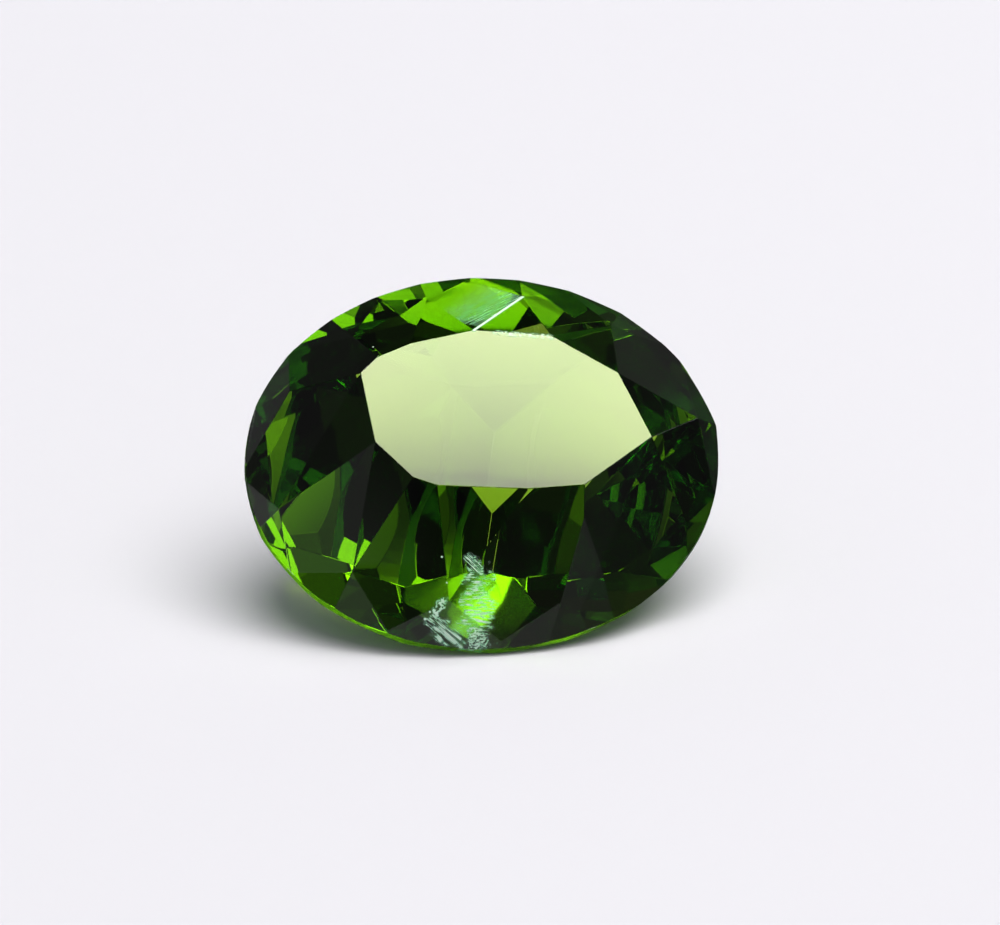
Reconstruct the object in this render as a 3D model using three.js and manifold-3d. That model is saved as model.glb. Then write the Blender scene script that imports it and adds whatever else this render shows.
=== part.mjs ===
// An oval cut peridot: one clear green stone, ground flat facet by flat facet, lying on its side.
// Millimetres, +Z up. The stone's own frame has the girdle outline at height 0, the table above and
// the culet below. The stone is then leaned over onto the pavilion facet that it rests on.
import * as THREE from "three";
import { mergeVertices } from "three/addons/utils/BufferGeometryUtils.js";
import Module from "manifold-3d";

const wasm = await Module();
wasm.setup();

// The girdle outline is an ellipse, long along the stone's X.
const LENGTH = 10.0;
const WIDTH = 8.76;
const OUTLINE_SIDES = 120;

// Heights along the stone's axis.
const CROWN_HEIGHT = 2.28;
const GIRDLE_THICKNESS = 0.22;
const PAVILION_DEPTH = 3.7;

// Each main facet of the crown, anticlockwise from the long axis. It touches the girdle at girdleAngle and
// starts at the table at one corner, or along a short edge between two. The cut is a hand cut, so the spacing
// wanders. At each end of the table two mains share a corner, with no star facet between them.
const CROWN_MAINS = [
  { girdleAngle: 28, tableCorners: [[2.75, 0.39]] },
  { girdleAngle: 58, tableCorners: [[1.56, 1.48]] },
  { girdleAngle: 82, tableCorners: [[0, 1.87]] },
  { girdleAngle: 107, tableCorners: [[-1.65, 1.76], [-2.24, 1.49]] },
  { girdleAngle: 131, tableCorners: [[-2.54, 1.27]] },
  { girdleAngle: 175, tableCorners: [[-2.54, 1.27]] },
  { girdleAngle: 206, tableCorners: [[-2.58, -0.36]] },
  { girdleAngle: 236, tableCorners: [[-1.89, -1.43], [-1.3, -1.6]] },
  { girdleAngle: 264, tableCorners: [[0.31, -1.94]] },
  { girdleAngle: 286, tableCorners: [[1.67, -2.06]] },
  { girdleAngle: 301, tableCorners: [[3.1, -1.19]] },
  { girdleAngle: 331, tableCorners: [[3.1, -1.19]] },
];

// How high the ridge between each main and the one before it runs before the star and girdle facets end it.
const RIDGE_HEIGHTS = [1.3, 1.0, 0.92, 0.87, 1.17, 0.97, 0.53, 0.68, 0.74, 0.6, 0.95, 0.77];

// Each main facet of the pavilion, anticlockwise from the front one that the stone lies on. It touches the girdle
// at girdleAngle. Its plane crosses the line above the culet at depthShare of the pavilion depth, and the ridge
// between it and the main before it ends in a pair of girdle facets at ridgeReach of that depth.
const PAVILION_MAINS = [
  { girdleAngle: 264, depthShare: 1, ridgeReach: 0.595 },
  { girdleAngle: 296.3, depthShare: 1.035, ridgeReach: 0.51 },
  { girdleAngle: 326, depthShare: 1.085, ridgeReach: 0.435 },
  { girdleAngle: 356.7, depthShare: 0.905, ridgeReach: 0.4 },
  { girdleAngle: 1.3, depthShare: 0.96, ridgeReach: 0.545 },
  { girdleAngle: 67.2, depthShare: 1.13, ridgeReach: 0.305 },
  { girdleAngle: 75.5, depthShare: 1.04, ridgeReach: 0.31 },
  { girdleAngle: 136, depthShare: 0.95, ridgeReach: 0.5 },
  { girdleAngle: 150.2, depthShare: 0.85, ridgeReach: 0.49 },
  { girdleAngle: 165.9, depthShare: 1.125, ridgeReach: 0.3 },
  { girdleAngle: 217, depthShare: 1.15, ridgeReach: 0.345 },
];
const CULET_X = 0.15;
const CULET_Y = 0.3;

// The pairs of small facets along the girdle are cut a little further in than the mains, so the mains end in points.
const GIRDLE_FACET_DROP = 0.05;

// How far the resting facet turns from straight ahead.
const LEAN_TURN = 9.2;

// The rough piece stands this much above the table and below the culet.
const PREFORM_SPARE = 1;
const CUTTING_BLOCK = 30;
const MERGE_TOLERANCE = 1e-4;
const PERIDOT_GREEN = 0x4f8a1c;
const POLISH_ROUGHNESS = 0.03;

const UP = new THREE.Vector3(0, 0, 1);

// A point of the girdle outline at a height.
function girdlePoint(angle, height) {
  const turn = THREE.MathUtils.degToRad(angle);
  return new THREE.Vector3(Math.cos(turn) * LENGTH / 2, Math.sin(turn) * WIDTH / 2, height);
}

// The level direction that points straight out of the girdle outline at an angle.
function girdleOutward(angle) {
  const turn = THREE.MathUtils.degToRad(angle);
  return new THREE.Vector3(Math.cos(turn) / LENGTH, Math.sin(turn) / WIDTH, 0).normalize();
}

// The facet plane that holds a point of the crown or pavilion and touches the girdle outline at an angle.
function facetThrough(point, girdleAngle, girdleHeight) {
  const touch = girdlePoint(girdleAngle, girdleHeight);
  const outward = girdleOutward(girdleAngle);
  const run = outward.dot(touch) - outward.dot(point);
  const rise = point.z - girdleHeight;
  const normal = outward.multiplyScalar(Math.abs(rise)).addScaledVector(UP, Math.sign(rise) * run).normalize();
  return new THREE.Plane().setFromNormalAndCoplanarPoint(normal, touch);
}

// The point where the ridge between two facets reaches a height.
function ridgePoint(first, second, height) {
  const level = new THREE.Plane(UP, -height);
  const point = new THREE.Vector3();
  for (const [a, b, c] of [[first, second, level], [second, level, first], [level, first, second]]) {
    point.addScaledVector(b.normal.clone().cross(c.normal), -a.constant);
  }
  return point.divideScalar(first.normal.dot(second.normal.clone().cross(level.normal)));
}

// The girdle angle a share of the way from one main to the next, anticlockwise.
function angleBetween(before, after, share) {
  const gap = THREE.MathUtils.euclideanModulo(after.girdleAngle - before.girdleAngle, 360);
  return before.girdleAngle + gap * share;
}

// The two small facets that end a ridge at a point and run down, or up, to the girdle.
function girdlePair(before, after, ridgeEnd, girdleHeight) {
  return [0.25, 0.75].map((share) => facetThrough(ridgeEnd, angleBetween(before, after, share), girdleHeight));
}

// The middle of the short edge, or the corner, where a main meets the table.
function tableEnd(main) {
  const end = new THREE.Vector3(0, 0, CROWN_HEIGHT);
  main.tableCorners.forEach(([x, y]) => end.add(new THREE.Vector3(x, y, 0).divideScalar(main.tableCorners.length)));
  return end;
}

// The star facet from a table edge out to the end of the ridge between the two mains.
function starFacet(before, after, ridgeEnd) {
  const [startX, startY] = before.tableCorners.at(-1);
  const [endX, endY] = after.tableCorners[0];
  const start = new THREE.Vector3(startX, startY, CROWN_HEIGHT);
  const end = new THREE.Vector3(endX, endY, CROWN_HEIGHT);
  return new THREE.Plane().setFromCoplanarPoints(start, ridgeEnd, end);
}

function sharesCorner(before, after) {
  return before.tableCorners.at(-1).every((value, axis) => value === after.tableCorners[0][axis]);
}

// Table, mains, stars and upper girdle facets.
function crownFacets() {
  const mains = CROWN_MAINS.map((main) => facetThrough(tableEnd(main), main.girdleAngle, 0));
  const facets = [new THREE.Plane(UP, -CROWN_HEIGHT), ...mains];
  CROWN_MAINS.forEach((main, index) => {
    const before = CROWN_MAINS.at(index - 1);
    const ridgeEnd = ridgePoint(mains.at(index - 1), mains[index], RIDGE_HEIGHTS[index]);
    facets.push(...girdlePair(before, main, ridgeEnd, -GIRDLE_FACET_DROP));
    if (!sharesCorner(before, main)) facets.push(starFacet(before, main, ridgeEnd));
  });
  return facets;
}

// A height below the girdle, as a share of the pavilion depth.
function pavilionHeight(share) {
  return -GIRDLE_THICKNESS - PAVILION_DEPTH * share;
}

function pavilionMain(main) {
  const crossing = new THREE.Vector3(CULET_X, CULET_Y, pavilionHeight(main.depthShare));
  return facetThrough(crossing, main.girdleAngle, -GIRDLE_THICKNESS);
}

// Mains that run to the culet, and lower girdle facets.
function pavilionFacets() {
  const mains = PAVILION_MAINS.map(pavilionMain);
  const pairs = PAVILION_MAINS.map((main, index) => {
    const ridgeEnd = ridgePoint(mains.at(index - 1), mains[index], pavilionHeight(main.ridgeReach));
    return girdlePair(PAVILION_MAINS.at(index - 1), main, ridgeEnd, GIRDLE_FACET_DROP - GIRDLE_THICKNESS);
  });
  return [...mains, ...pairs.flat()];
}

function solidOf(geometry) {
  geometry.deleteAttribute("normal");
  geometry.deleteAttribute("uv");
  const merged = mergeVertices(geometry, MERGE_TOLERANCE);
  return new wasm.Manifold(new wasm.Mesh({
    numProp: 3,
    vertProperties: merged.attributes.position.array,
    triVerts: new Uint32Array(merged.index.array),
  }));
}

function geometryOf(solid) {
  const mesh = solid.getMesh();
  return new THREE.BufferGeometry()
    .setAttribute("position", new THREE.BufferAttribute(mesh.vertProperties, 3))
    .setIndex(new THREE.BufferAttribute(mesh.triVerts, 1));
}

// The rough piece, already ground to the girdle outline and a little taller than the finished stone.
function preform() {
  const angles = Array.from({ length: OUTLINE_SIDES }, (_, side) => (side * 360) / OUTLINE_SIDES);
  const outline = new THREE.Shape(angles.map((angle) => {
    const point = girdlePoint(angle, 0);
    return new THREE.Vector2(point.x, point.y);
  }));
  const bottom = pavilionHeight(Math.max(...PAVILION_MAINS.map((main) => main.depthShare))) - PREFORM_SPARE;
  const depth = CROWN_HEIGHT + PREFORM_SPARE - bottom;
  const geometry = new THREE.ExtrudeGeometry(outline, { depth, bevelEnabled: false });
  return solidOf(geometry.translate(0, 0, bottom));
}

// Everything beyond a facet plane, as a block that is taken off.
function wasteBeyond(plane) {
  const block = new THREE.BoxGeometry(CUTTING_BLOCK, CUTTING_BLOCK, CUTTING_BLOCK);
  block.translate(0, 0, CUTTING_BLOCK / 2 - plane.constant);
  block.applyQuaternion(new THREE.Quaternion().setFromUnitVectors(UP, plane.normal));
  return solidOf(block);
}

// Leans the stone onto its resting facet, and stands that facet on height 0 with the stone centred over 0, 0.
function layDown(geometry) {
  const resting = pavilionMain(PAVILION_MAINS[0]).normal;
  const facetTurn = Math.atan2(resting.y, resting.x);
  const lean = Math.acos(-resting.z);
  geometry.rotateZ(-Math.PI / 2 - facetTurn).rotateX(lean).rotateZ(THREE.MathUtils.degToRad(LEAN_TURN));
  geometry.computeBoundingBox();
  const middle = geometry.boundingBox.getCenter(new THREE.Vector3());
  return geometry.translate(-middle.x, -middle.y, -geometry.boundingBox.min.z);
}

function peridotMaterial() {
  const material = new THREE.MeshStandardMaterial({
    color: PERIDOT_GREEN,
    roughness: POLISH_ROUGHNESS,
    metalness: 0,
    flatShading: true,
  });
  material.name = "peridot_crystal";
  return material;
}

function peridot() {
  const facets = [...crownFacets(), ...pavilionFacets()];
  const stone = facets.reduce((solid, plane) => solid.subtract(wasteBeyond(plane)), preform());
  const mesh = new THREE.Mesh(layDown(geometryOf(stone)), peridotMaterial());
  mesh.name = "peridot";
  return mesh;
}

const stone = new THREE.Group();
stone.add(peridot());

export default stone;
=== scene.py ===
import math

import bmesh
import bpy
from bpy.props import FloatProperty, FloatVectorProperty, IntProperty, PointerProperty
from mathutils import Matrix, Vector


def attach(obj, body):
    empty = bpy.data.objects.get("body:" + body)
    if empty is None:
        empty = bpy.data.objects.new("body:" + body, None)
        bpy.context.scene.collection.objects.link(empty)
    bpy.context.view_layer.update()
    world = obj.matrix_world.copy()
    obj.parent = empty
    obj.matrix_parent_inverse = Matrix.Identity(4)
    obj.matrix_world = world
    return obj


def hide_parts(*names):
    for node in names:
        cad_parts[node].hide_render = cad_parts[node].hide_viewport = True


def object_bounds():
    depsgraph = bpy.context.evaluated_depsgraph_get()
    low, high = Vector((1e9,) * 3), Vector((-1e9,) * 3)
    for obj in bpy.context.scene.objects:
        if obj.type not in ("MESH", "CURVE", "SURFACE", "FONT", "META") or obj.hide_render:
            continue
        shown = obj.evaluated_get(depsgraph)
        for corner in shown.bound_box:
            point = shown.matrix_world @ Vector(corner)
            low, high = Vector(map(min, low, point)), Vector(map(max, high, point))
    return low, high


bl_info = {
    "name": "Oval Cut Peridot",
    "version": (1, 0, 0),
    "blender": (4, 5, 0),
    "location": "View3D > Sidebar > Peridot",
    "description": "Finishes a faceted peridot and sets it on a pale floor under a soft light",
    "category": "Object",
}

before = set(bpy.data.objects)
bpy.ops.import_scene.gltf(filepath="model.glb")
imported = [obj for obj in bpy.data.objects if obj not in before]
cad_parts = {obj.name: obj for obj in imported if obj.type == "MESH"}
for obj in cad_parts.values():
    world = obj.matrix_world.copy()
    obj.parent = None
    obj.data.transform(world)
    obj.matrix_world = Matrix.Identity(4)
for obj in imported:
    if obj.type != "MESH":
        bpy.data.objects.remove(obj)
CUT_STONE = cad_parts["peridot"]
CAD_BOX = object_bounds()

MM = 0.001

# The cut stone is worked on in millimetres. Its triangles are joined into one face for each facet.
WELD_DISTANCE = 1e-4
SAME_FACET_ANGLE = math.radians(0.3)
# A girdle face stands this close to square to the table, as a cosine.
GIRDLE_TOLERANCE = 0.02

# The photograph's frame and where the middle of the girdle sits in it.
IMAGE_WIDTH = 1000
IMAGE_HEIGHT = 925
GIRDLE_IN_IMAGE = (482.2, 462.7)
PIXELS_PER_METRE = 47800
SENSOR_WIDTH = 36
NEAREST_SEEN = 1 * MM
FURTHEST_SEEN = 10

# Face attributes that tell the material which part of the stone a face belongs to.
RESTING_FACET = "resting_facet"
SCUFFED_FACET = "scuffed_facet"
GIRDLE = "girdle"

# Keeps the floor clear of the resting facet, so the two faces don't coincide.
FLOOR_GAP = 0.02 * MM
FLOOR_SIDES = 96

# Towards the softbox.
LAMP_DIRECTION = (0.22, -0.126, 0.959)
SOFTBOX_SIDES = 64

# The brightness of the surround below the floor, and of the paler patch low in front. Heights are the upward
# part of a direction: the patch starts below the first one and is full at the second.
BELOW_HORIZON = 0.034
LOW_FRONT_PATCH = 0.35
PATCH_TOP = -0.1
PATCH_FULL = -0.25
HORIZON_BLEND = 0.02

# Light is followed through many facets of the stone before it is given up.
STONE_BOUNCES = 24
DIFFUSE_BOUNCES = 4

# Noise lies around its middle value, and most of it within half the spread of that.
NOISE_MIDDLE = 0.5
NOISE_SPREAD = 0.5
STROKE_DETAIL = 3

# Scratched places on the front of the crown, in millimetres. Each has a middle, a half width and a half
# length, and the turn of that length away from upright, in degrees. Its strokes have a width and a length,
# and cover a share of the place.
SCRATCHES = (
    {"middle": (-0.78, -3.5, 0.55), "reach": (0.26, 0.5), "turn": -48, "stroke": (0.03, 1.5), "cover": 0.62},
    {"middle": (-0.1, -3.4, 1.05), "reach": (0.4, 0.95), "turn": 4, "stroke": (0.16, 0.028), "cover": 0.56},
    {"middle": (-0.16, -3.3, 1.95), "reach": (0.15, 0.36), "turn": -42, "stroke": (0.025, 0.9), "cover": 0.6},
    {"middle": (-0.86, -3.5, 1.15), "reach": (0.15, 0.26), "turn": 35, "stroke": (0.05, 0.06), "cover": 0.7},
    {"middle": (-0.12, -3.5, 0.35), "reach": (0.34, 0.26), "turn": 60, "stroke": (0.04, 0.05), "cover": 0.6},
)
# How far a place reaches inwards from the front, so that it takes in the slope of the crown.
SCRATCH_DEPTH = 1.5
# The share of a place's reach within which it is fully scratched.
SCRATCHED_CORE = 0.6
# How far the outline of a place wanders, as a share of its reach, and the size of the wander in millimetres.
RAGGED_OUTLINE = 1.8
WANDER_SIZE = (0.2, 0.2, 0.2)
# A stroke starts this much below its noise value and is full this much above it.
STROKE_START = 0.06
STROKE_FULL = 0.2
# The even haze on the facet that the stone rests on.
RESTING_HAZE = 0.14

# The scuffed crown facet behind the table, and its edge from the table outwards, where a whitish line is a
# painted highlight.
SCUFFED_FACET_SPOT = Vector((0.2, 1.4, 5.76)) * MM
HIGHLIGHT_EDGE_START = Vector((-0.17, -0.03, 5.83)) * MM
HIGHLIGHT_EDGE_END = Vector((0.85, 2.15, 5.67)) * MM
HIGHLIGHT_LINE_REACH = 0.05 * MM
# Its fine scratches, which thin out away from that edge. Turns are in degrees and sizes in millimetres.
SCUFF_REACH = 1.3 * MM
SCUFF_TURNS = (0, 0, -35)
SCUFF_SIZE = (0.02, 0.6, 0.6)
SCUFF_START = 0.3
SCUFF_FULL = 0.95

# The rubbed stretch of the table's back edge, and the specks in it.
RUBBED_START = Vector((0.3, -0.01, 5.78)) * MM
RUBBED_END = Vector((1.43, 0.03, 5.68)) * MM
RUBBED_REACH = 0.12 * MM
SPECK_TURNS = (0, 0, 30)
SPECK_SIZE = (0.03, 0.09, 0.09)
SPECK_START = 0.5
SPECK_FULL = 0.6

# The share of its reach within which a worn line is at its brightest.
LINE_CORE = 0.3

# Small chips and specks, as a middle and a radius in millimetres.
CHIPS = (
    ((-1.17, -3.48, 0.83), 0.04),
    ((-1.07, -3.47, 0.99), 0.03),
    ((-0.82, -3.28, 2.15), 0.028),
    ((-0.72, -3.4, 1.62), 0.025),
    ((-2.26, -0.11, 5.48), 0.03),
    ((0.17, -3.45, 0.25), 0.045),
    ((0.31, -3.44, 0.27), 0.04),
    ((0.3, -3.44, 0.36), 0.03),
)
# The share of its radius within which a chip is at its brightest.
CHIP_CORE = 0.5

# The amount of wear that has the scratch colour. Less is clearer, and more runs towards the chip colour.
FAINT_WEAR = 0.25


class PeridotStoneSettings(bpy.types.PropertyGroup):
    edge_rounding: FloatProperty(
        name="Edge Rounding",
        description="How far each edge between two facets is polished back",
        default=0.012 * MM,
        unit="LENGTH",
        precision=6,
    )
    edge_segments: IntProperty(
        name="Edge Segments",
        description="Strips across each rounded edge",
        default=2,
        min=1,
        max=4,
    )
    refractive_index: FloatProperty(
        name="Refractive Index",
        description="Mean refractive index of peridot",
        default=1.67,
    )
    body_colour: FloatVectorProperty(
        name="Body Colour",
        description="Colour that the crystal lets through",
        default=(0.675, 0.83, 0.05),
        subtype="COLOR",
        min=0,
        max=1,
        size=3,
    )
    body_density: FloatProperty(
        name="Body Density",
        description="How fast the crystal takes light away, per metre",
        default=700,
    )
    girdle_roughness: FloatProperty(
        name="Girdle Roughness",
        description="Roughness of the ground band around the stone",
        default=0.3,
        min=0,
        max=1,
    )
    wear_roughness: FloatProperty(
        name="Wear Roughness",
        description="Roughness of the most worn places",
        default=0.6,
        min=0,
        max=1,
    )
    wear_cover: FloatProperty(
        name="Wear Cover",
        description="Share of the light that the most worn places keep from passing through",
        default=0.8,
        min=0,
        max=1,
    )
    scratch_colour: FloatVectorProperty(
        name="Scratch Colour",
        description="Colour of faint scratches",
        default=(0.3, 0.85, 0.55),
        subtype="COLOR",
        min=0,
        max=1,
        size=3,
    )
    # Also the colour of the painted highlight, the whitish line along the scuffed facet's edge.
    chip_and_highlight_colour: FloatVectorProperty(
        name="Chip Colour",
        description="Colour of chips and of the deepest scratches",
        default=(0.8, 1, 0.9),
        subtype="COLOR",
        min=0,
        max=1,
        size=3,
    )


class PeridotStageSettings(bpy.types.PropertyGroup):
    floor_radius: FloatProperty(
        name="Floor Radius",
        description="Radius of the round pale floor",
        default=42 * MM,
        unit="LENGTH",
    )
    floor_colour: FloatVectorProperty(
        name="Floor Colour",
        description="Colour of the pale floor",
        default=(0.545, 0.55, 0.64),
        subtype="COLOR",
        min=0,
        max=1,
        size=3,
    )
    lamp_distance: FloatProperty(
        name="Lamp Distance",
        description="From the stone to the overhead softbox",
        default=400 * MM,
        unit="LENGTH",
    )
    lamp_spread: FloatProperty(
        name="Lamp Spread",
        description="Half angle of the softbox as the stone sees it, to the middle of its soft edge",
        default=math.radians(29.8),
        subtype="ANGLE",
    )
    lamp_soft_edge: FloatProperty(
        name="Lamp Soft Edge",
        description="Half the angle over which the softbox fades at its edge",
        default=math.radians(3),
        subtype="ANGLE",
    )
    lamp_radiance: FloatProperty(
        name="Lamp Radiance",
        description="Brightness of the back half of the softbox",
        default=7.6,
    )
    lamp_front_share: FloatProperty(
        name="Lamp Front Share",
        description="Brightness of the front half of the softbox, as a share of the back half",
        default=0.44,
    )
    lamp_front_edge: FloatProperty(
        name="Lamp Front Edge",
        description="How far forward of overhead the bright half ends",
        default=math.radians(9.2),
        subtype="ANGLE",
    )
    lamp_front_blend: FloatProperty(
        name="Lamp Front Blend",
        description="Half the angle over which the bright half blends into the dim one",
        default=math.radians(1.6),
        subtype="ANGLE",
    )
    lamp_colour: FloatVectorProperty(
        name="Lamp Colour",
        description="Colour of the softbox",
        default=(1, 0.97, 0.86),
        subtype="COLOR",
        min=0,
        max=1,
        size=3,
    )
    glow_right: FloatProperty(
        name="Glow at the Right",
        description="Brightness of the surround just above the floor on the right",
        default=0.73,
    )
    glow_left: FloatProperty(
        name="Glow at the Left",
        description="Brightness of the surround just above the floor on the left",
        default=0.67,
    )
    glow_falloff: FloatProperty(
        name="Glow Falloff",
        description="How quickly the surround darkens upwards",
        default=4.1,
    )
    overhead_dark: FloatProperty(
        name="Overhead",
        description="Brightness of the dark surround overhead",
        default=0.0065,
    )
    floor_fill: FloatProperty(
        name="Floor Fill",
        description="Soft light from all around that only the dull surfaces get, which lifts the shadow",
        default=0.32,
    )
    card_turn: FloatProperty(
        name="Card Turn",
        description="Direction of the pale card behind the stone, anticlockwise from straight right",
        default=math.radians(78),
        subtype="ANGLE",
    )
    card_elevation: FloatProperty(
        name="Card Elevation",
        description="How high the middle of the pale card stands",
        default=math.radians(62.5),
        subtype="ANGLE",
    )
    card_spread: FloatProperty(
        name="Card Spread",
        description="Half angle of the pale card as the stone sees it, to the middle of its soft edge",
        default=math.radians(12.2),
        subtype="ANGLE",
    )
    card_soft_edge: FloatProperty(
        name="Card Soft Edge",
        description="Half the angle over which the pale card fades at its edge",
        default=math.radians(5),
        subtype="ANGLE",
    )
    card_radiance: FloatProperty(
        name="Card Radiance",
        description="Brightness of the pale card",
        default=1.15,
    )
    camera_distance: FloatProperty(
        name="Camera Distance",
        description="From the camera to the middle of the view",
        default=150 * MM,
        unit="LENGTH",
    )
    camera_elevation: FloatProperty(
        name="Camera Elevation",
        description="How steeply the camera looks down",
        default=math.radians(24),
        subtype="ANGLE",
    )


# The largest facet of the stone is its table.
def table_face(shape):
    return max(shape.faces, key=lambda face: face.calc_area())


# The stone in millimetres, with one face for each facet.
def faceted_stone():
    shape = bmesh.new()
    shape.from_mesh(CUT_STONE.data)
    bmesh.ops.scale(shape, vec=(1 / MM,) * 3, verts=shape.verts)
    bmesh.ops.remove_doubles(shape, verts=shape.verts, dist=WELD_DISTANCE)
    bmesh.ops.dissolve_limit(shape, angle_limit=SAME_FACET_ANGLE, verts=shape.verts, edges=shape.edges)
    shape.normal_update()
    return shape


# Girdle faces stand square to the table.
def girdle_faces(shape):
    axis = table_face(shape).normal
    return [face for face in shape.faces if abs(face.normal.dot(axis)) < GIRDLE_TOLERANCE]


# The lowest facet, which the stone lies on.
def resting_face(shape):
    return min(shape.faces, key=lambda face: face.normal.z)


# The crown facet under the scuffed spot. The spot also falls within facets far above or below it, so the
# nearest one is taken.
def scuffed_face(shape):
    spot = SCUFFED_FACET_SPOT / MM
    in_line = [face for face in shape.faces if bmesh.geometry.intersect_face_point(face, spot)]
    return min(in_line, key=lambda face: abs((face.calc_center_median() - spot).dot(face.normal)))


# The middle of the girdle outline.
def girdle_centre(shape):
    axis = table_face(shape).normal.copy()
    points = [vert.co for face in girdle_faces(shape) for vert in face.verts]
    across = axis.cross(Vector((0, 0, 1))).normalized()
    along = axis.cross(across)
    centre = Vector()
    for direction in (across, along, axis):
        reach = [point.dot(direction) for point in points]
        centre += direction * (min(reach) + max(reach)) / 2
    return centre * MM


# Marks faces for the material. All the layers are made first, because a new one drops the faces found before.
def mark_finishes(shape):
    for name in (RESTING_FACET, SCUFFED_FACET, GIRDLE):
        shape.faces.layers.float.new(name)
    finishes = {
        RESTING_FACET: [resting_face(shape)],
        SCUFFED_FACET: [scuffed_face(shape)],
        GIRDLE: girdle_faces(shape),
    }
    for name, faces in finishes.items():
        layer = shape.faces.layers.float.get(name)
        for face in faces:
            face[layer] = 1


# Brings stray corners of the rounded edges back to the stone's box.
def keep_inside(shape, box):
    low, high = box
    for vert in shape.verts:
        vert.co = [min(max(value, least), most) for value, least, most in zip(vert.co, low, high)]


class MESH_OT_peridot_stone(bpy.types.Operator):
    """Finishes the cut stone with rounded facet edges, a ground girdle and scratched facets"""

    bl_idname = "mesh.peridot_stone"
    bl_label = "Finish Stone"

    def execute(self, context):
        settings = context.scene.peridot_stone
        shape = faceted_stone()
        mark_finishes(shape)
        bmesh.ops.bevel(
            shape,
            geom=shape.edges[:],
            offset=settings.edge_rounding / MM,
            offset_type="OFFSET",
            segments=settings.edge_segments,
            profile=0.5,
            affect="EDGES",
            material=-1,
            clamp_overlap=False,
        )
        bmesh.ops.scale(shape, vec=(MM,) * 3, verts=shape.verts)
        keep_inside(shape, CAD_BOX)
        mesh = bpy.data.meshes.new("peridot_stone")
        shape.to_mesh(mesh)
        shape.free()
        stone = bpy.data.objects.new("peridot_stone", mesh)
        context.scene.collection.objects.link(stone)
        mesh.materials.append(crystal_material(settings))
        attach(stone, "root")
        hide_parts("peridot")
        return {"FINISHED"}


# A maths node on sockets or numbers, as its output socket.
def math_node(tree, operation, *values, clamp=False):
    node = tree.nodes.new("ShaderNodeMath")
    node.operation = operation
    node.use_clamp = clamp
    set_inputs(tree, node, values)
    return node.outputs[0]


def vector_node(tree, operation, *values, output="Vector"):
    node = tree.nodes.new("ShaderNodeVectorMath")
    node.operation = operation
    set_inputs(tree, node, values)
    return node.outputs[output]


# Links sockets to the first inputs of a node, or sets them to numbers.
def set_inputs(tree, node, values):
    for socket, value in zip(node.inputs, values):
        if isinstance(value, bpy.types.NodeSocket):
            tree.links.new(value, socket)
        else:
            socket.default_value = value


# From 0 to 1 as a value runs from one number to another, with soft ends.
def soft_step(tree, value, start, end):
    node = tree.nodes.new("ShaderNodeMapRange")
    node.interpolation_type = "SMOOTHSTEP"
    tree.links.new(value, node.inputs["Value"])
    node.inputs["From Min"].default_value = start
    node.inputs["From Max"].default_value = end
    return node.outputs["Result"]


# The position in the space of a place, where 1 is a reach away from its middle. Turns and lengths are in
# degrees and millimetres.
def space_of(tree, position, middle, turns, reach):
    mapping = tree.nodes.new("ShaderNodeMapping")
    mapping.vector_type = "TEXTURE"
    mapping.inputs["Location"].default_value = Vector(middle) * MM
    mapping.inputs["Rotation"].default_value = [math.radians(turn) for turn in turns]
    mapping.inputs["Scale"].default_value = Vector(reach) * MM
    tree.links.new(position, mapping.inputs["Vector"])
    return mapping.outputs["Vector"]


# Noise drawn out into strokes, with a size along each turned axis.
def strokes(tree, position, turns, size):
    noise = tree.nodes.new("ShaderNodeTexNoise")
    noise.inputs["Scale"].default_value = 1
    noise.inputs["Detail"].default_value = STROKE_DETAIL
    tree.links.new(space_of(tree, position, (0, 0, 0), turns, size), noise.inputs["Vector"])
    return noise.outputs["Fac"]


# 1 near a line between two points, fading to 0 at a distance from it.
def near_line(tree, position, start, end, reach):
    direction = (end - start).normalized()
    offset = vector_node(tree, "SUBTRACT", position, start)
    along = vector_node(tree, "DOT_PRODUCT", offset, direction, output="Value")
    inside = math_node(tree, "MINIMUM", math_node(tree, "MAXIMUM", along, 0), (end - start).length)
    foot = tree.nodes.new("ShaderNodeVectorMath")
    foot.operation = "SCALE"
    foot.inputs[0].default_value = direction
    tree.links.new(inside, foot.inputs["Scale"])
    away = vector_node(tree, "DISTANCE", offset, foot.outputs[0], output="Value")
    return soft_step(tree, away, reach, reach * LINE_CORE)


def face_attribute(tree, name):
    node = tree.nodes.new("ShaderNodeAttribute")
    node.attribute_name = name
    return node.outputs["Fac"]


# 1 inside the ragged outline of a scratched place.
def scratched_area(tree, position, place, turns):
    width, length = place["reach"]
    offset = space_of(tree, position, place["middle"], turns, (width, SCRATCH_DEPTH, length))
    distance = vector_node(tree, "LENGTH", offset, output="Value")
    wander = math_node(tree, "SUBTRACT", strokes(tree, position, turns, WANDER_SIZE), NOISE_MIDDLE)
    distance = math_node(tree, "MULTIPLY_ADD", wander, RAGGED_OUTLINE, distance)
    return soft_step(tree, distance, 1, SCRATCHED_CORE)


# The strokes of a scratched place. They show where their noise rises above an edge value, and they cover half
# the place if that is the middle value.
def scratch_strokes(tree, position, place, turns):
    across, along = place["stroke"]
    lines = strokes(tree, position, turns, (across, across, along))
    edge = NOISE_MIDDLE + (1 / 2 - place["cover"]) * NOISE_SPREAD
    return soft_step(tree, lines, edge - STROKE_START, edge + STROKE_FULL)


# Strokes and rubbed spots on the front of the crown, and a faint haze on the facet that the stone rests on.
def front_wear(tree, position):
    wear = math_node(tree, "MULTIPLY", face_attribute(tree, RESTING_FACET), RESTING_HAZE)
    for place in SCRATCHES:
        turns = (0, place["turn"], 0)
        area = scratched_area(tree, position, place, turns)
        marks = math_node(tree, "MULTIPLY", scratch_strokes(tree, position, place, turns), area)
        wear = math_node(tree, "MAXIMUM", marks, wear)
    return wear


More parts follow.
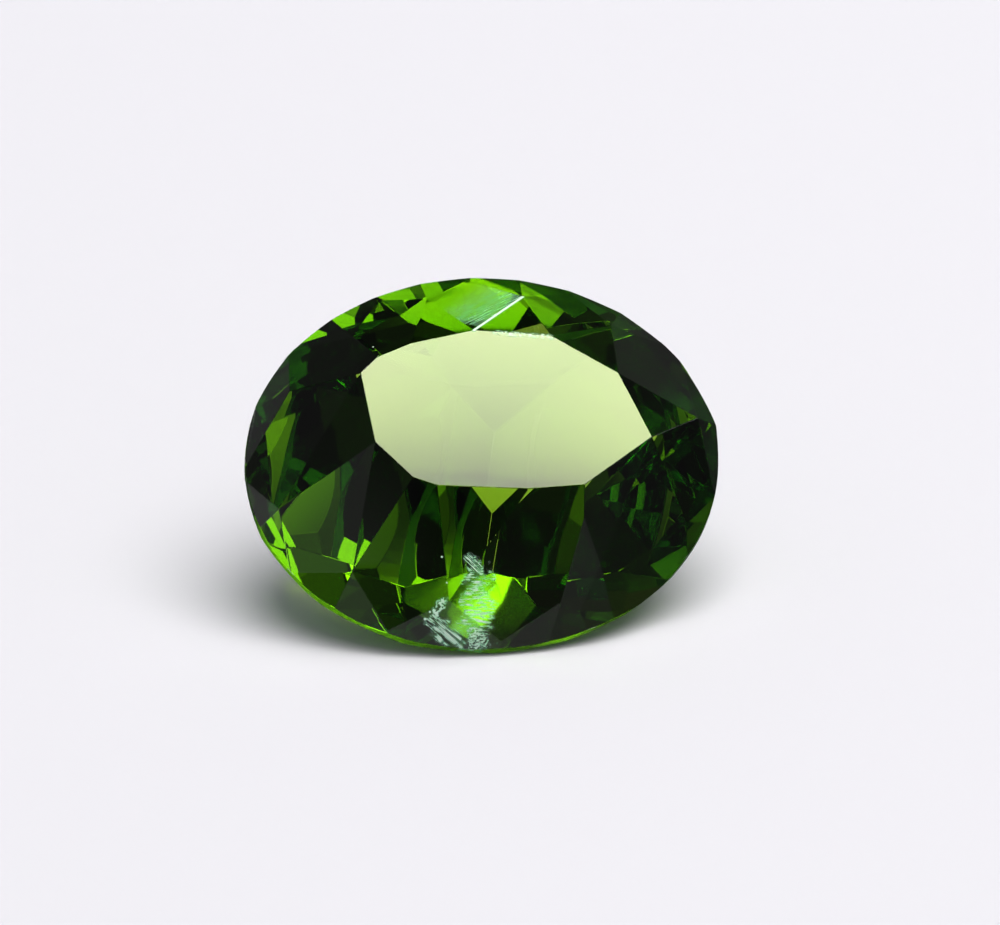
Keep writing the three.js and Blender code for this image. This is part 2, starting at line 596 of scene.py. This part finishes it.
def chip_wear(tree, position):
    wear = 0
    for middle, radius in CHIPS:
        reach = radius * MM
        away = vector_node(tree, "DISTANCE", position, Vector(middle) * MM, output="Value")
        wear = math_node(tree, "MAXIMUM", soft_step(tree, away, reach, reach * CHIP_CORE), wear)
    return wear


# A haze of fine scratches that is densest beside the edge of the crown facet behind the table, the edge that
# carries the painted highlight.
def crown_wear(tree, position):
    direction = (HIGHLIGHT_EDGE_END - HIGHLIGHT_EDGE_START).normalized()
    away = Vector((-direction.y, direction.x, 0))
    offset = vector_node(tree, "SUBTRACT", position, HIGHLIGHT_EDGE_START)
    distance = vector_node(tree, "DOT_PRODUCT", offset, away, output="Value")
    haze = soft_step(tree, distance, SCUFF_REACH, 0)
    lines = strokes(tree, position, SCUFF_TURNS, SCUFF_SIZE)
    marks = math_node(tree, "MULTIPLY", haze, soft_step(tree, lines, SCUFF_START, SCUFF_FULL))
    return math_node(tree, "MULTIPLY", marks, face_attribute(tree, SCUFFED_FACET))


# Along two edges of the table's back side: a whitish line that is a painted highlight, and whitish abrasion
# with specks.
def edge_wear_and_highlight(tree, position):
    # A whitish line along the scuffed facet's edge, which is a painted highlight.
    bright = near_line(tree, position, HIGHLIGHT_EDGE_START, HIGHLIGHT_EDGE_END, HIGHLIGHT_LINE_REACH)
    rubbed = near_line(tree, position, RUBBED_START, RUBBED_END, RUBBED_REACH)
    specks = soft_step(tree, strokes(tree, position, SPECK_TURNS, SPECK_SIZE), SPECK_START, SPECK_FULL)
    return math_node(tree, "MAXIMUM", bright, math_node(tree, "MULTIPLY", rubbed, specks))


# From clear through the scratch colour to the chip colour, as wear grows. The chip colour also paints the
# highlight line.
def wear_colour(tree, wear, settings):
    colour = tree.nodes.new("ShaderNodeValToRGB")
    ramp = colour.color_ramp.elements
    ramp[0].color = (1, 1, 1, 1)
    ramp[1].color = (*settings.chip_and_highlight_colour, 1)
    ramp.new(FAINT_WEAR).color = (*settings.scratch_colour, 1)
    tree.links.new(wear, colour.inputs["Fac"])
    return colour.outputs["Color"]


def crystal_material(settings):
    material = bpy.data.materials.new("peridot_crystal")
    material.use_nodes = True
    tree = material.node_tree
    surface = tree.nodes["Principled BSDF"]
    surface.inputs["IOR"].default_value = settings.refractive_index
    position = tree.nodes.new("ShaderNodeTexCoord").outputs["Object"]
    wear = math_node(tree, "MAXIMUM", front_wear(tree, position), crown_wear(tree, position))
    # This adds the painted highlight line to the wear.
    wear = math_node(tree, "MAXIMUM", wear, edge_wear_and_highlight(tree, position))
    wear = math_node(tree, "MAXIMUM", wear, chip_wear(tree, position))
    tree.links.new(wear_colour(tree, wear, settings), surface.inputs["Base Color"])
    ground = math_node(tree, "MULTIPLY", face_attribute(tree, GIRDLE), settings.girdle_roughness)
    worn = math_node(tree, "MULTIPLY", wear, settings.wear_roughness)
    tree.links.new(math_node(tree, "MAXIMUM", ground, worn), surface.inputs["Roughness"])
    clear = math_node(tree, "MULTIPLY_ADD", wear, -settings.wear_cover, 1)
    tree.links.new(clear, surface.inputs["Transmission Weight"])
    body = tree.nodes.new("ShaderNodeVolumeAbsorption")
    body.inputs["Color"].default_value = (*settings.body_colour, 1)
    body.inputs["Density"].default_value = settings.body_density
    tree.links.new(body.outputs[0], tree.nodes["Material Output"].inputs["Volume"])
    return material


class SCENE_OT_peridot_stage(bpy.types.Operator):
    """Adds the pale floor, the soft lamp, the surround and the camera"""

    bl_idname = "scene.peridot_stage"
    bl_label = "Set Stage"

    def execute(self, context):
        settings = context.scene.peridot_stage
        shape = faceted_stone()
        centre = girdle_centre(shape)
        shape.free()
        make_floor(context, settings)
        make_lamp(context, settings)
        make_surround(context, settings)
        make_camera(context, settings, centre)
        set_light_paths(context)
        return {"FINISHED"}


# A flat round sheet that faces up.
def make_disc(context, name, radius, sides):
    shape = bmesh.new()
    bmesh.ops.create_circle(shape, cap_ends=True, segments=sides, radius=radius)
    mesh = bpy.data.meshes.new(name)
    shape.to_mesh(mesh)
    shape.free()
    disc = bpy.data.objects.new(name, mesh)
    context.scene.collection.objects.link(disc)
    return disc


# Mirror reflections leave the floor out, so the lower facets reflect a dark room.
def make_floor(context, settings):
    floor = make_disc(context, "floor", settings.floor_radius, FLOOR_SIDES)
    floor.visible_glossy = False
    floor.location.z = -FLOOR_GAP
    material = bpy.data.materials.new("pale_floor")
    material.use_nodes = True
    surface = material.node_tree.nodes["Principled BSDF"]
    surface.inputs["Base Color"].default_value = (*settings.floor_colour, 1)
    surface.inputs["Roughness"].default_value = 1
    surface.inputs["Specular IOR Level"].default_value = 0
    floor.data.materials.append(material)


# A round softbox that fades at its rim. Its front half is dimmer, so the lower part of the table mirrors less
# of it.
def make_lamp(context, settings):
    direction = Vector(LAMP_DIRECTION).normalized()
    widest = settings.lamp_spread + settings.lamp_soft_edge
    softbox = make_disc(context, "softbox", math.tan(widest) * settings.lamp_distance, SOFTBOX_SIDES)
    softbox.location = direction * settings.lamp_distance
    softbox.rotation_euler = (-direction).to_track_quat("Z", "Y").to_euler()
    softbox.visible_camera = False
    softbox.data.materials.append(softbox_material(settings, direction))


# 1 within an angle of a direction, fading to 0 over a soft rim.
def soft_cone(tree, direction, middle, spread, soft_edge):
    off_axis = vector_node(tree, "DOT_PRODUCT", direction, middle, output="Value")
    return soft_step(tree, off_axis, math.cos(spread + soft_edge), math.cos(spread - soft_edge))


def softbox_material(settings, direction):
    material = bpy.data.materials.new("softbox_light")
    material.use_nodes = True
    tree = material.node_tree
    tree.nodes.remove(tree.nodes["Principled BSDF"])
    geometry = tree.nodes.new("ShaderNodeNewGeometry")
    towards = vector_node(tree, "NORMALIZE", geometry.outputs["Position"])
    disc = soft_cone(tree, towards, direction, settings.lamp_spread, settings.lamp_soft_edge)
    back = vector_node(tree, "DOT_PRODUCT", towards, (0, 1, 0), output="Value")
    blend_start = -math.sin(settings.lamp_front_edge + settings.lamp_front_blend)
    blend_end = -math.sin(settings.lamp_front_edge - settings.lamp_front_blend)
    bright_half = soft_step(tree, back, blend_start, blend_end)
    front = settings.lamp_front_share
    level = math_node(tree, "MULTIPLY_ADD", bright_half, 1 - front, front)
    level = math_node(tree, "MULTIPLY", math_node(tree, "MULTIPLY", level, disc), settings.lamp_radiance)
    emission = tree.nodes.new("ShaderNodeEmission")
    emission.inputs["Color"].default_value = (*settings.lamp_colour, 1)
    tree.links.new(level, emission.inputs["Strength"])
    tree.links.new(emission.outputs[0], tree.nodes["Material Output"].inputs["Surface"])
    return material


# 1 straight towards a side, falling off as the square of the cosine to 0 square to it.
def facing_share(tree, direction, side):
    facing = vector_node(tree, "DOT_PRODUCT", direction, side, output="Value")
    facing = math_node(tree, "MAXIMUM", facing, 0)
    return math_node(tree, "POWER", facing, 2)


# A soft round patch of light behind the stone, from 0 outside it to 1.
def pale_card(tree, direction, settings):
    level = math.cos(settings.card_elevation)
    middle = Vector((
        math.cos(settings.card_turn) * level,
        math.sin(settings.card_turn) * level,
        math.sin(settings.card_elevation),
    ))
    return soft_cone(tree, direction, middle, settings.card_spread, settings.card_soft_edge)


# Above the floor: side walls that glow low down, and the pale card.
def upper_surround(tree, direction, height, settings):
    right = math_node(tree, "MULTIPLY", facing_share(tree, direction, (1, 0, 0)), settings.glow_right)
    left = math_node(tree, "MULTIPLY", facing_share(tree, direction, (-1, 0, 0)), settings.glow_left)
    fading = math_node(tree, "SUBTRACT", 1, height, clamp=True)
    fading = math_node(tree, "POWER", fading, settings.glow_falloff)
    walls = math_node(tree, "MULTIPLY", math_node(tree, "ADD", right, left), fading)
    walls = math_node(tree, "ADD", walls, settings.overhead_dark)
    card = pale_card(tree, direction, settings)
    return math_node(tree, "MULTIPLY_ADD", card, settings.card_radiance, walls)


# Below the floor: darkness, with a paler patch in front.
def lower_surround(tree, direction, height):
    low = soft_step(tree, height, PATCH_TOP, PATCH_FULL)
    patch = math_node(tree, "MULTIPLY", facing_share(tree, direction, (0, -1, 0)), low)
    return math_node(tree, "MULTIPLY_ADD", patch, LOW_FRONT_PATCH, BELOW_HORIZON)


def make_surround(context, settings):
    world = bpy.data.worlds.new("surround")
    context.scene.world = world
    world.use_nodes = True
    tree = world.node_tree
    direction = tree.nodes.new("ShaderNodeTexCoord").outputs["Generated"]
    height = vector_node(tree, "DOT_PRODUCT", direction, (0, 0, 1), output="Value")
    light = tree.nodes.new("ShaderNodeMix")
    tree.links.new(soft_step(tree, height, -HORIZON_BLEND, 0), light.inputs["Factor"])
    tree.links.new(lower_surround(tree, direction, height), light.inputs["A"])
    tree.links.new(upper_surround(tree, direction, height, settings), light.inputs["B"])
    dull = tree.nodes.new("ShaderNodeLightPath").outputs["Is Diffuse Ray"]
    level = math_node(tree, "MULTIPLY_ADD", dull, settings.floor_fill, light.outputs["Result"])
    background = tree.nodes["Background"]
    background.inputs["Color"].default_value = (1, 1, 1, 1)
    tree.links.new(level, background.inputs["Strength"])


# The girdle's middle falls on its place in the photograph.
def make_camera(context, settings, centre):
    data = bpy.data.cameras.new("camera")
    camera = bpy.data.objects.new("camera", data)
    context.scene.collection.objects.link(camera)
    context.scene.camera = camera
    tilt = settings.camera_elevation
    back = Vector((0, -math.cos(tilt), math.sin(tilt)))
    up = Vector((0, math.sin(tilt), math.cos(tilt)))
    right = Vector((1, 0, 0))
    across, down = GIRDLE_IN_IMAGE
    shift_right = (IMAGE_WIDTH / 2 - across) / PIXELS_PER_METRE
    shift_up = (down - IMAGE_HEIGHT / 2) / PIXELS_PER_METRE
    aim = centre + right * shift_right + up * shift_up
    camera.location = aim + back * settings.camera_distance
    camera.rotation_euler = (-back).to_track_quat("-Z", "Y").to_euler()
    data.sensor_width = SENSOR_WIDTH
    data.lens = SENSOR_WIDTH * settings.camera_distance / (IMAGE_WIDTH / PIXELS_PER_METRE)
    data.clip_start = NEAREST_SEEN
    data.clip_end = FURTHEST_SEEN


def set_light_paths(context):
    scene = context.scene
    cycles = scene.cycles
    cycles.max_bounces = STONE_BOUNCES
    cycles.transmission_bounces = STONE_BOUNCES
    cycles.glossy_bounces = STONE_BOUNCES
    cycles.diffuse_bounces = DIFFUSE_BOUNCES
    cycles.blur_glossy = 0
    cycles.caustics_refractive = True
    cycles.caustics_reflective = True
    scene.view_settings.view_transform = "Standard"


class VIEW3D_PT_peridot(bpy.types.Panel):
    bl_label = "Peridot"
    bl_idname = "VIEW3D_PT_peridot"
    bl_space_type = "VIEW_3D"
    bl_region_type = "UI"
    bl_category = "Peridot"

    def draw(self, context):
        for settings in (context.scene.peridot_stone, context.scene.peridot_stage):
            box = self.layout.box()
            for name in settings.__annotations__:
                box.prop(settings, name)
        for operator in PIECES:
            self.layout.operator(operator.bl_idname)


PIECES = (MESH_OT_peridot_stone, SCENE_OT_peridot_stage)
CLASSES = (PeridotStoneSettings, PeridotStageSettings, *PIECES, VIEW3D_PT_peridot)


def register():
    for item in CLASSES:
        bpy.utils.register_class(item)
    bpy.types.Scene.peridot_stone = PointerProperty(type=PeridotStoneSettings)
    bpy.types.Scene.peridot_stage = PointerProperty(type=PeridotStageSettings)


def unregister():
    del bpy.types.Scene.peridot_stage
    del bpy.types.Scene.peridot_stone
    for item in reversed(CLASSES):
        bpy.utils.unregister_class(item)


def main():
    register()
    bpy.ops.mesh.peridot_stone()
    bpy.ops.scene.peridot_stage()


if __name__ == "__main__":
    main()
